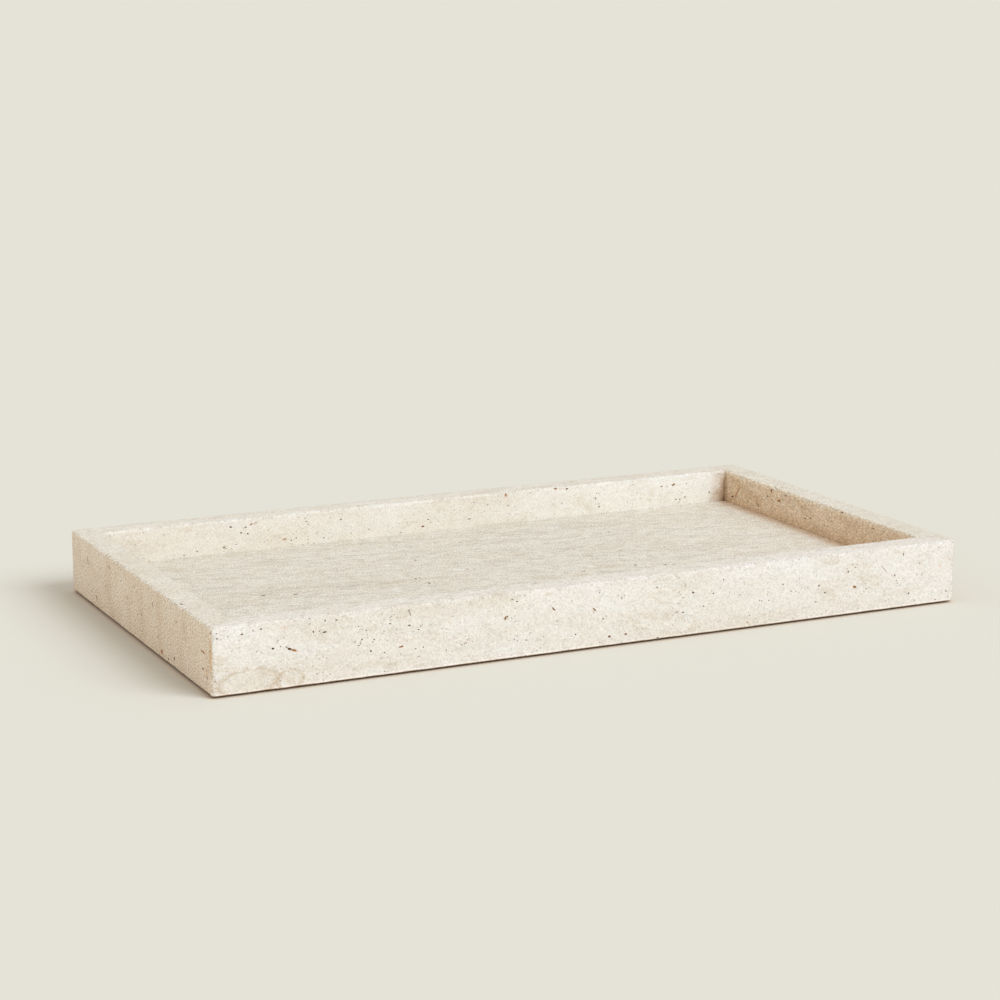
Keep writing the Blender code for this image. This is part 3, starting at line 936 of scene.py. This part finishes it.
def random_pore(rng, face, place, size, dark):
    """A pore on a face (corner, first edge, second edge, normal) at shares of its edges."""
    corner, first, second, normal = face
    centre = corner + first * place[0] + second * place[1]
    long = size * rng.uniform(*PORE_LONG)
    across = size * rng.uniform(*PORE_ACROSS)
    if abs(normal.y) < 0.5:
        long *= NARROWER[0]
        across *= NARROWER[1]
    deep = size * rng.uniform(*PORE_DEEP)
    radii = face_radii(normal, long, across, deep)
    turn = Euler([rng.gauss(0, PORE_TURN) for _ in range(3)]).to_matrix()
    rust = rng.random() ** RUST_RARITY
    sunk = rng.uniform(*PORE_SUNK)
    return Pore(centre - normal * size * sunk, radii, turn, dark, rust)


def scattered_pores(rng, face, singles, clusters):
    """Single pores all over a face, and clusters drawn out along the bedding."""
    _, first, second, _ = face
    found = []

    def place_pore(a, b, size):
        if 0 < a < 1 and 0 < b < 1:
            found.append(random_pore(rng, face, (a, b), size, rng.uniform(*PORE_DARK)))

    for _ in range(singles):
        size = random_size(rng, SINGLE_PORE)
        place_pore(rng.random(), rng.random(), size)
    for _ in range(clusters):
        a, b = rng.random(), rng.random()
        long = rng.uniform(*CLUSTER_LONG) * MM
        high = rng.uniform(*CLUSTER_HIGH) * MM
        for _ in range(rng.randint(*CLUSTER_COUNT)):
            size = random_size(rng, CLUSTERED_PORE)
            step_a = rng.gauss(0, long) / first.length
            step_b = rng.gauss(0, high) / second.length
            place_pore(a + step_a, b + step_b, size)
    return found


def arris_chips(rng, start, end, out, amount):
    """Small bites out of an arris that runs from start to end. out points away from the stone."""
    found = []
    for _ in range(amount):
        size = MM * rng.uniform(*CHIP_SIZE)
        centre = start.lerp(end, rng.random()) + out * size * rng.uniform(*CHIP_OUT)
        radii = [size * rng.uniform(*CHIP_SHAPE) for _ in range(3)]
        turn = Euler([rng.uniform(*CHIP_TURN) for _ in range(3)]).to_matrix()
        found.append(Pore(centre, radii, turn, rng.uniform(*CHIP_DARK), rng.random() ** RUST_RARITY))
    return found


def marked_pores(marks, point, normal):
    """The pores that stand out in the photograph, on the face through point."""
    found = []
    for mark in marks:
        centre = seen_at(mark.x, mark.y, point, normal)
        level, first, second = slanted_axes(normal, mark.slant)
        turn = Matrix((first, second, normal)).transposed()
        long = mark.long / shortening(level)
        deep = max(MARK_LEAST, min(long, mark.tall)) * MARK_DEPTH
        radii = [MARK_SWELL * MM * size for size in (long, mark.tall, deep)]
        found.append(Pore(centre, radii, turn, mark.dark, mark.rust))
    return found


def strip_faces(side):
    """A strip's four long faces as (corner, edge along it, edge across it, outward normal)."""
    reach = side.half - RIM - STRIP_MARGIN
    full = side.half - STRIP_MARGIN
    low, high = STONE_BOTTOM + STRIP_MARGIN, RIM_TOP - STRIP_MARGIN
    across = side.inward * (RIM - 2 * STRIP_MARGIN)
    faces = {
        "outer": (full, 0, low, UP * (high - low), -side.inward),
        "inner": (reach, RIM, FLOOR_TOP, UP * (high - FLOOR_TOP), side.inward),
        "top": (reach, STRIP_MARGIN, RIM_TOP, across, UP),
        "bottom": (reach, STRIP_MARGIN, STONE_BOTTOM, across, DOWN),
    }
    return {
        name: (place_on_side(side, -half, inset, height), side.along * 2 * half, second, normal)
        for name, (half, inset, height, second, normal) in faces.items()
    }


def strip_pores(side, seed, marks):
    """The marked and random pores of a strip, and the chips on its arrises."""
    rng = random.Random(seed)
    share = side.half / HALF_LENGTH
    faces = strip_faces(side)
    amounts = dict(STRIP_PORES)
    found = []
    for name, face_marks in marks.items():
        corner, _, _, normal = faces[name]
        found += marked_pores(face_marks, corner, normal)
        if name != "top":
            amounts[name] = MARKED_FACE_PORES
    for name, (singles, clusters) in amounts.items():
        found += scattered_pores(rng, faces[name], int(singles * share), int(clusters * share))
    low, high = STONE_BOTTOM + CHIP_INSET, RIM_TOP - CHIP_INSET
    lines = [
        (CHIP_INSET, high, UP - side.inward),
        (RIM - CHIP_INSET, high, UP + side.inward),
        (CHIP_INSET, low, -UP - side.inward),
    ]
    reach = side.half - RIM
    for inset, height, out in lines:
        start = place_on_side(side, -reach, inset, height)
        end = place_on_side(side, reach, inset, height)
        found += arris_chips(rng, start, end, out.normalized(), int(CHIPS * share))
    return found


def slab_pores():
    rng = random.Random(SEEDS["slab"])
    x = HALF_LENGTH - RIM - SLAB_MARGIN
    y = HALF_WIDTH - RIM - SLAB_MARGIN
    found = marked_pores(FLOOR_MARKS, UP * FLOOR_TOP, UP)
    faces = [(FLOOR_TOP, UP, SLAB_TOP_PORES), (STONE_BOTTOM, DOWN, SLAB_BOTTOM_PORES)]
    for height, normal, amounts in faces:
        face = (Vector((-x, -y, height)), Vector((2 * x, 0, 0)), Vector((0, 2 * y, 0)), normal)
        found += scattered_pores(rng, face, *amounts)
    return found


def finish_stone(piece, solid_faces):
    """Shades pores and arrises smooth and the ground faces flat, and stores how deep each point is.

    solid_faces are planes (point, outward normal) of the stone before its pores were opened.
    """
    mesh = piece.data
    count = len(mesh.vertices)
    places = np.empty(count * 3)
    mesh.vertices.foreach_get("co", places)
    places = places.reshape(-1, 3)
    depth = np.full(count, 1.0)
    for point, normal in solid_faces:
        depth = np.minimum(depth, (np.array(point) - places) @ np.array(normal))
    in_pore = np.ones(count, bool)
    smooth = []
    for face in mesh.polygons:
        pore = face.material_index == 1
        if not pore:
            in_pore[list(face.vertices)] = False
        level = max(abs(c) for c in face.normal) > LEVEL_FACE
        smooth.append(pore or not level)
    mesh.polygons.foreach_set("use_smooth", smooth)
    mesh.polygons.foreach_set("material_index", [0] * len(mesh.polygons))
    mesh.set_sharp_from_angle(angle=SHARP_STONE)
    store(mesh, "depth", np.clip(depth, 0, 1) / MM * in_pore)
    mesh.materials.clear()


# Materials

def new_material(name, specular):
    """A material, its node tree and its shader."""
    material = bpy.data.materials.new(name)
    material.use_nodes = True
    tree = material.node_tree
    shader = tree.nodes["Principled BSDF"]
    shader.inputs["Specular IOR Level"].default_value = specular
    return material, tree, shader


def add(tree, kind, inputs=None, **settings):
    """A node with its settings, its inputs given as values or as other nodes' outputs."""
    node = tree.nodes.new(kind)
    for name, value in settings.items():
        setattr(node, name, value)
    for name, value in (inputs or {}).items():
        if isinstance(value, bpy.types.NodeSocket):
            tree.links.new(value, node.inputs[name])
        else:
            node.inputs[name].default_value = value
    return node


def maths(tree, operation, first, second=0.0):
    return add(tree, "ShaderNodeMath", {0: first, 1: second}, operation=operation).outputs[0]


def times(tree, first, second):
    return maths(tree, "MULTIPLY", first, second)


def centred(tree, value):
    """A noise's value less its usual middle."""
    return maths(tree, "SUBTRACT", value, 0.5)


def blend(tree, share, first, second, how="MIX"):
    node = add(tree, "ShaderNodeMix", {0: share}, data_type="RGBA", blend_type=how)
    for index, value in zip(MIX_COLOURS, (first, second)):
        socket = node.inputs[index]
        if isinstance(value, bpy.types.NodeSocket):
            tree.links.new(value, socket)
        else:
            socket.default_value = (*value[:3], 1.0)
    return node.outputs[MIX_RESULT]


def scaled(tree, colour, factor):
    """The colour times a factor for each of red, green and blue."""
    return blend(tree, 1.0, colour, factor, "MULTIPLY")


def tinted(tree, colour, share, factor):
    """The colour times a share of the factor."""
    return scaled(tree, colour, blend(tree, share, WHITE, factor))


def ramp(tree, value, low, high, to_low=0.0, to_high=1.0):
    """value from low to high, turned smoothly into to_low to to_high."""
    inputs = {0: value, 1: low, 2: high, 3: to_low, 4: to_high}
    node = add(tree, "ShaderNodeMapRange", inputs, interpolation_type="SMOOTHSTEP")
    return node.outputs[0]


def stretched(tree, place, scale):
    inputs = {0: place, 1: scale}
    return add(tree, "ShaderNodeVectorMath", inputs, operation="MULTIPLY").outputs[0]


def place_in_mm(tree):
    here = add(tree, "ShaderNodeTexCoord").outputs["Object"]
    return stretched(tree, here, (1 / MM,) * 3)


def cloud(tree, place, kind, run=1.0):
    """Noise at the place in mm. run draws it out along Y."""
    x, y, z = kind.scale
    inputs = {
        "Vector": stretched(tree, place, (x, y * run, z)),
        "Scale": 1.0,
        "Detail": kind.detail,
        "Roughness": kind.rough,
        "Distortion": kind.warp,
    }
    return add(tree, "ShaderNodeTexNoise", inputs).outputs["Fac"]


def add_bump(tree, shader, height, strength, distance):
    inputs = {"Height": height, "Strength": strength, "Distance": distance}
    bump = add(tree, "ShaderNodeBump", inputs).outputs[0]
    tree.links.new(bump, shader.inputs["Normal"])


def bedded_place(tree, lean):
    """The place in mm, and the same bent and slanted so that the beds undulate."""
    place = place_in_mm(tree)
    shift = times(tree, centred(tree, cloud(tree, place, BENDS)), BED_BEND)
    along = add(tree, "ShaderNodeSeparateXYZ", {0: place}).outputs["X"]
    inputs = {
        "Y": maths(tree, "ADD", shift, times(tree, along, lean[0])),
        "Z": times(tree, along, lean[1]),
    }
    offset = add(tree, "ShaderNodeCombineXYZ", inputs).outputs[0]
    bent = add(tree, "ShaderNodeVectorMath", {0: place, 1: offset}, operation="ADD")
    return place, bent.outputs[0]


def by_side(tree, sides, amounts):
    """The amount for the end, long or level face that the point is on."""
    inputs = {0: sides, 1: amounts}
    node = add(tree, "ShaderNodeVectorMath", inputs, operation="DOT_PRODUCT")
    return node.outputs["Value"]


def stained_and_shaded(tree, colour, place, stains_and_shade, point, normal):
    """Tints and rings with ragged edges round some of the pores, and painted shade and light in the
    corners and along the right wall.
    """
    ragged = cloud(tree, place, RAGGED)
    for stain_and_shade in stains_and_shade:
        centre = seen_at(stain_and_shade.x, stain_and_shade.y, point, normal) / MM
        level, first, second = slanted_axes(normal, stain_and_shade.slant)
        turn = Matrix((first, second, normal)).transposed().to_euler()
        inputs = {
            "Vector": place,
            "Location": centre,
            "Rotation": turn,
            "Scale": (stain_and_shade.long / shortening(level), stain_and_shade.tall, stain_and_shade.tall),
        }
        local = add(tree, "ShaderNodeMapping", inputs, vector_type="TEXTURE").outputs[0]
        far = add(tree, "ShaderNodeVectorMath", {0: local}, operation="LENGTH").outputs["Value"]
        most = RING_RAGGED if stain_and_shade.width else STAIN_AND_SHADE_RAGGED
        reach = maths(tree, "ADD", far, times(tree, centred(tree, ragged), most))
        if stain_and_shade.width:
            off = maths(tree, "ABSOLUTE", maths(tree, "SUBTRACT", reach, 1.0))
            strength = ramp(tree, ragged, *RING_GAPS, stain_and_shade.strength, stain_and_shade.strength / 2)
            near = ramp(tree, off, stain_and_shade.width, 0.0, 0.0, strength)
        else:
            near = ramp(tree, reach, *STAIN_AND_SHADE_EDGE, 0.0, stain_and_shade.strength)
        colour = blend(tree, near, colour, stain_and_shade.colour)
    return colour


def beds(tree, colour, place, bent):
    """Broad beds, cloudy between."""
    bands = cloud(tree, bent, BANDS)
    drift = cloud(tree, place, DRIFTS)
    layers = [
        (bands, PALE_BANDS, PALER),
        (bands, BROWN_BANDS, BROWNER),
        (drift, BROWN_DRIFTS, BROWNER),
        (drift, PALE_DRIFTS, PALER),
    ]
    for value, edges, factor in layers:
        colour = tinted(tree, colour, ramp(tree, value, *edges), factor)
    return colour


def dashes(tree, colour, bent, amount):
    """Short grey and pale dashes along the beds."""
    streaks = cloud(tree, bent, STREAKS)
    flecks = cloud(tree, bent, FLECKS)
    layers = [(streaks, GREY_STREAKS, GREY), (flecks, GREY_FLECKS, GREY), (flecks, PALE_FLECKS, PALE)]
    for value, edges, tint in layers:
        colour = blend(tree, times(tree, ramp(tree, value, *edges), amount), colour, tint)
    return colour


def mottle(tree, colour, place, bent, run, amount):
    """Irregular darker spots, thicker in places."""
    spots = ramp(tree, cloud(tree, bent, SPOTS, run), *DARK_SPOTS)
    patchy = ramp(tree, cloud(tree, place, SPOT_PATCHES), *SPOTTY_AREAS)
    return tinted(tree, colour, times(tree, spots, times(tree, amount, patchy)), MOTTLE)


def crisp(tree, colour, place, run, amount):
    """Fine light and dark grain, in steps that look the same on red, green and blue."""
    fine = cloud(tree, place, GRAIN, run)
    change = times(tree, centred(tree, fine), amount)
    step = add(tree, "ShaderNodeGamma", {"Color": colour, "Gamma": EVEN_STEP}).outputs[0]
    return blend(tree, 1.0, colour, scaled(tree, step, change), "ADD"), fine


def specks(tree, colour, place):
    """Pinhole pores too small to cut out."""
    inputs = {"Vector": place, "Scale": SPECK_CELLS, "Randomness": 1.0}
    holes = add(tree, "ShaderNodeTexVoronoi", inputs)
    chance = add(tree, "ShaderNodeSeparateColor", {0: holes.outputs["Color"]}).outputs[0]
    reach = ramp(tree, chance, *SPECK_SIZES)
    spot = ramp(tree, maths(tree, "SUBTRACT", reach, holes.outputs["Distance"]), *SPECK_EDGE)
    patchy = ramp(tree, cloud(tree, place, SPECK_PATCHES), *SPECKLED_AREAS)
    return blend(tree, times(tree, spot, patchy), colour, SPECK_AND_FOOT_SHADE)


def contours(tree, colour, place, bent):
    """Faint brown outlines, as round the stone's old crusts."""
    edge = maths(tree, "ABSOLUTE", maths(tree, "SUBTRACT", cloud(tree, bent, CRUSTS), CRUST_LEVEL))
    line = ramp(tree, edge, *CRUST_LINE)
    patchy = ramp(tree, cloud(tree, place, CRUST_PATCHES), *CRUSTED_AREAS)
    return blend(tree, times(tree, line, patchy), colour, END_BROWN)


def pore_walls(tree, colour):
    """Pores darken with depth: partly dirt in them, partly painted shade for pores deeper than the cut
    ones. Chips stay the stone's own colour.
    """
    depth, dark, rust = [
        add(tree, "ShaderNodeAttribute", attribute_name=name).outputs["Fac"]
        for name in ("depth", "dark", "rust")
    ]
    inside = ramp(tree, depth, *IN_PORE)
    wall = blend(tree, ramp(tree, rust, *RUSTY_WALL), BROWN, RUST)
    coloured = ramp(tree, maths(tree, "MAXIMUM", dark, rust), *COLOURED_WALL)
    share = times(tree, times(tree, inside, WALL_SHARE), coloured)
    colour = blend(tree, share, colour, wall)
    core = times(tree, ramp(tree, depth, *DEEP_IN_PORE), dark)
    return blend(tree, core, colour, DARK), inside


def past_edge(tree, place):
    """How far the point is outside the tray's outline, in mm. Inside, this is negative."""
    sides = add(tree, "ShaderNodeVectorMath", {0: place}, operation="ABSOLUTE").outputs[0]
    axes = add(tree, "ShaderNodeSeparateXYZ", {0: sides}).outputs
    past_end = maths(tree, "SUBTRACT", axes["X"], HALF_LENGTH / MM)
    past_long = maths(tree, "SUBTRACT", axes["Y"], HALF_WIDTH / MM)
    return maths(tree, "MAXIMUM", past_end, past_long)


def shaded(tree, colour, place, shades, back):
    """Painted light and shade along an axis, on every face or on those towards the front alone."""
    axes = add(tree, "ShaderNodeSeparateXYZ", {0: place}).outputs
    to_front = ramp(tree, back, *TO_FRONT)
    drift = centred(tree, cloud(tree, place, SHADE_EDGES))
    for shade in shades:
        wander = times(tree, drift, abs(shade.end - shade.start))
        reach = maths(tree, "ADD", axes[shade.axis], wander)
        if shade.draw:
            height = maths(tree, "SUBTRACT", axes["Z"], FLOOR_TOP / MM)
            reach = maths(tree, "SUBTRACT", reach, times(tree, height, shade.draw))
        share = ramp(tree, reach, shade.start, shade.end)
        if shade.on_front:
            share = times(tree, share, to_front)
        colour = tinted(tree, colour, share, shade.factor)
    return colour


def travertine(name, stone, shades, stains_and_shade, face):
    """Honed travertine. face is the face that takes the tints, as (point, outward normal)."""
    material, tree, shader = new_material(name, STONE_SPECULAR)
    place, bent = bedded_place(tree, stone.lean)
    normal = add(tree, "ShaderNodeNewGeometry").outputs["Normal"]
    sides = add(tree, "ShaderNodeVectorMath", {0: normal}, operation="ABSOLUTE").outputs[0]
    end, long, level = add(tree, "ShaderNodeSeparateXYZ", {0: sides}).outputs
    to_end = ramp(tree, end, *FACING)
    to_level = ramp(tree, level, *FACING)
    flattest = maths(tree, "MAXIMUM", maths(tree, "MAXIMUM", end, long), level)
    on_arris = ramp(tree, flattest, *ON_ARRIS)
    _, back, below = add(tree, "ShaderNodeSeparateXYZ", {0: normal}).outputs

    colour = beds(tree, blend(tree, to_end, stone.base, stone.end), place, bent)
    colour = dashes(tree, colour, bent, by_side(tree, sides, stone.dashes))
    colour = mottle(tree, colour, place, bent, stone.run, by_side(tree, sides, stone.mottling))
    colour = contours(tree, colour, place, bent)
    colour = specks(tree, colour, place)
    colour = blend(tree, times(tree, to_level, stone.level_grey), colour, GREY)
    colour = scaled(tree, colour, on_arris)
    colour = stained_and_shaded(tree, colour, place, stains_and_shade, *face)
    colour = shaded(tree, colour, place, shades, back)
    colour, fine = crisp(tree, colour, place, stone.run, by_side(tree, sides, stone.grain))
    # Painted shade: the underside is browned near the outline, so the shadowed gap under the edge looks
    # dark brown
    gap_shade = ramp(tree, past_edge(tree, place), *NEAR_OUTLINE)
    gap_shade = times(tree, gap_shade, ramp(tree, below, *FACING_DOWN))
    colour = blend(tree, gap_shade, colour, UNDERSIDE)
    colour, inside = pore_walls(tree, colour)
    tree.links.new(colour, shader.inputs["Base Color"])

    rough = ramp(tree, fine, *MIDDLE_NOISE, *STONE_ROUGH)
    rough = maths(tree, "ADD", rough, times(tree, inside, PORE_ROUGHER))
    tree.links.new(rough, shader.inputs["Roughness"])
    add_bump(tree, shader, fine, ramp(tree, end, *FACING, STONE_BUMP, 0.0), STONE_BUMP_HEIGHT)
    return material


def plain_material(look):
    """Two close colours in clouds, with roughness to go with them."""
    material, tree, shader = new_material(look.name, look.specular)
    spread = cloud(tree, place_in_mm(tree), look.cloud)
    colour = blend(tree, ramp(tree, spread, *look.edges), *look.colours)
    tree.links.new(colour, shader.inputs["Base Color"])
    rough = ramp(tree, spread, *MIDDLE_NOISE, *look.rough)
    tree.links.new(rough, shader.inputs["Roughness"])
    if look.bump:
        add_bump(tree, shader, spread, look.bump, PLAIN_BUMP_HEIGHT)
    return material


# Pieces

def register(piece, material, node):
    piece.data.materials.append(material)
    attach(piece, ROOT)
    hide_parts(node)
    return piece


def make_strip(side_name, marks, stains_and_shade, stone, shades, slot):
    """A rim strip with a list of marks for some of its faces, the first of which takes the tints."""
    side = SIDES[side_name]
    seed = SEEDS[side_name]
    name = side_name + "_strip_stone"
    piece = new_object(name, strip_mesh(name, side, seed))
    open_pores(piece, strip_pores(side, seed, marks))
    planes = [
        (place_on_side(side, 0, 0, STONE_BOTTOM), -side.inward),
        (place_on_side(side, 0, RIM, STONE_BOTTOM), side.inward),
        (UP * RIM_TOP, UP),
        (UP * STONE_BOTTOM, DOWN),
    ]
    finish_stone(piece, planes)
    corner, _, _, normal = strip_faces(side)[next(iter(marks))]
    material = travertine(side_name + "_travertine", stone, shades, stains_and_shade, (corner, normal))
    return register(piece, material, side_name + "_rim")


def make_slab():
    name = "floor_slab_stone"
    piece = new_object(name, slab_mesh(name))
    open_pores(piece, slab_pores())
    face = (UP * FLOOR_TOP, UP)
    finish_stone(piece, [face, (UP * STONE_BOTTOM, DOWN)])
    material = travertine("floor_travertine", FLOOR_STONE, FLOOR_SHADES, FLOOR_STAINS, face)
    return register(piece, material, "base_slab")


def make_corner_resin(material):
    """The thin line of resin that closes each mitre, a hair below the stone."""
    made = []
    for side_name, corner_name in CORNERS.items():
        side = SIDES[side_name]
        corner = place_on_side(side, side.half, 0, 0)
        diagonal = (side.inward - side.along).normalized()
        normal = (side.along + side.inward).normalized()
        middle = UP * ((RIM_TOP + STONE_BOTTOM) / 2)
        middle += corner + diagonal * RIM / math.sqrt(2)
        outline = []
        for end in strip_row(side, side.half, 0):
            flat = end - normal * (end - corner).dot(normal)
            outline.append(flat + (middle - flat).normalized() * JOINT_RECESS)
        rings = [[point + normal * offset for point in outline] for offset in (-RESIN / 2, RESIN / 2)]
        name = corner_name + "_resin_line"
        piece = new_object(name, lofted_mesh(name, rings))
        made.append(register(piece, material, corner_name + "_bond"))
    return made


def make_slab_resin(material):
    """The resin round the slab, pressed up to a thin pale fillet along the walls."""
    gap = (SLAB_JOINT - RESIN) / 2
    low = STONE_BOTTOM + JOINT_RECESS
    high = FLOOR_TOP - JOINT_RECESS
    rings = []
    for inset, height in ((0, low), (0, high), (RESIN, high), (RESIN, low)):
        x = HALF_LENGTH - RIM - gap - inset
        y = HALF_WIDTH - RIM - gap - inset
        rings.append([(-x, -y, height), (x, -y, height), (x, y, height), (-x, y, height)])
    name = "slab_resin_ring"
    piece = new_object(name, lofted_mesh(name, rings, closed=True))
    return register(piece, material, "base_bond")


def make_pads(material):
    """Round pads with a rolled edge, from the surface below up to the stone."""
    made = []
    for corner in ("front_left", "front_right", "back_left", "back_right"):
        low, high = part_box(corner + "_pad")
        middle = (low + high) / 2
        radius = (high.x - low.x) / 2
        height = STONE_BOTTOM - low.z
        shape = bmesh.new()
        bmesh.ops.create_cone(
            shape, cap_ends=True, segments=PAD_SIDES, radius1=radius, radius2=radius, depth=height
        )
        bmesh.ops.translate(shape, vec=(middle.x, middle.y, low.z + height / 2), verts=shape.verts)
        rims = [e for e in shape.edges if abs(e.verts[0].co.z - e.verts[1].co.z) < height / 2]
        bmesh.ops.bevel(
            shape,
            geom=rims,
            offset=height * PAD_EDGE,
            segments=PAD_EDGE_STEPS,
            profile=0.5,
            affect="EDGES",
        )
        name = corner + "_foot_pad"
        mesh = finished_mesh(name, shape)
        mesh.shade_smooth()
        mesh.set_sharp_from_angle(angle=SHARP_PAD)
        made.append(register(new_object(name, mesh), material, corner + "_pad"))
    return made


# Stage and light

def make_floor():
    """Plain pale paper, which the surround and the floor's sun light up to the background's colour.
    Round the tray's foot its colour has a painted warm glow, for the stone's bounced light.
    """
    shape = bmesh.new()
    bmesh.ops.create_grid(shape, x_segments=1, y_segments=1, size=FLOOR_SIZE / 2)
    floor = new_object("floor", finished_mesh("floor", shape))
    material, tree, shader = new_material("floor_paper", 0.0)
    light = [a + b for a, b in zip(SURROUND, FLOOR_SUN.on_level)]
    colour = [c / l for c, l in zip(BACKGROUND, light)]
    past = past_edge(tree, place_in_mm(tree))
    # Painted light: a warm glow on the paper round the tray's foot and in the gap under it
    for glow in PAINTED_FOOT_GLOWS:
        colour = tinted(tree, colour, ramp(tree, past, glow.reach, 0.0), glow.tint)
    tree.links.new(colour, shader.inputs["Base Color"])
    shader.inputs["Roughness"].default_value = 1.0
    floor.data.materials.append(material)
    floor.location.z = -FLOOR_DROP
    return floor


def make_sun(name, sun, lit):
    """A broad sun on the objects given alone. on_level is how much falls on a level surface."""
    data = bpy.data.lights.new(name, "SUN")
    data.angle = sun.spread
    brightest = max(sun.on_level)
    data.color = [c / brightest for c in sun.on_level]
    data.energy = brightest * math.pi / math.sin(sun.height)
    lamp = bpy.data.objects.new(name, data)
    bpy.context.scene.collection.objects.link(lamp)
    towards = Vector((
        math.sin(sun.turn) * math.cos(sun.height),
        -math.cos(sun.turn) * math.cos(sun.height),
        math.sin(sun.height),
    ))
    lamp.rotation_euler = towards.to_track_quat("Z", "Y").to_euler()
    receivers = bpy.data.collections.new(name + "_lights")
    for piece in lit:
        receivers.objects.link(piece)
    lamp.light_linking.receiver_collection = receivers


def make_world():
    """An even surround. Seen directly or in a reflection it has the background's colour."""
    world = bpy.data.worlds.new("surround")
    bpy.context.scene.world = world
    world.use_nodes = True
    tree = world.node_tree
    background = tree.nodes["Background"]
    path = add(tree, "ShaderNodeLightPath")
    seen = maths(tree, "MAXIMUM", path.outputs["Is Camera Ray"], path.outputs["Is Glossy Ray"])
    seen = maths(tree, "MAXIMUM", seen, path.outputs["Is Transmission Ray"])
    colour = blend(tree, seen, SURROUND, BACKGROUND)
    tree.links.new(colour, background.inputs["Color"])
    background.inputs["Strength"].default_value = 1.0


def main():
    bpy.context.scene.view_settings.view_transform = "Standard"
    make_camera()
    make_world()
    floor = make_floor()
    stones = [make_strip(name, *look) for name, look in STRIPS.items()]
    stones.append(make_slab())
    resin = plain_material(RESIN_LOOK)
    joints = [*make_corner_resin(resin), make_slab_resin(resin)]
    pads = make_pads(plain_material(RUBBER_LOOK))
    make_sun("tray_sun", TRAY_SUN, [*stones, *joints, *pads])
    make_sun("floor_sun", FLOOR_SUN, [floor])


main()
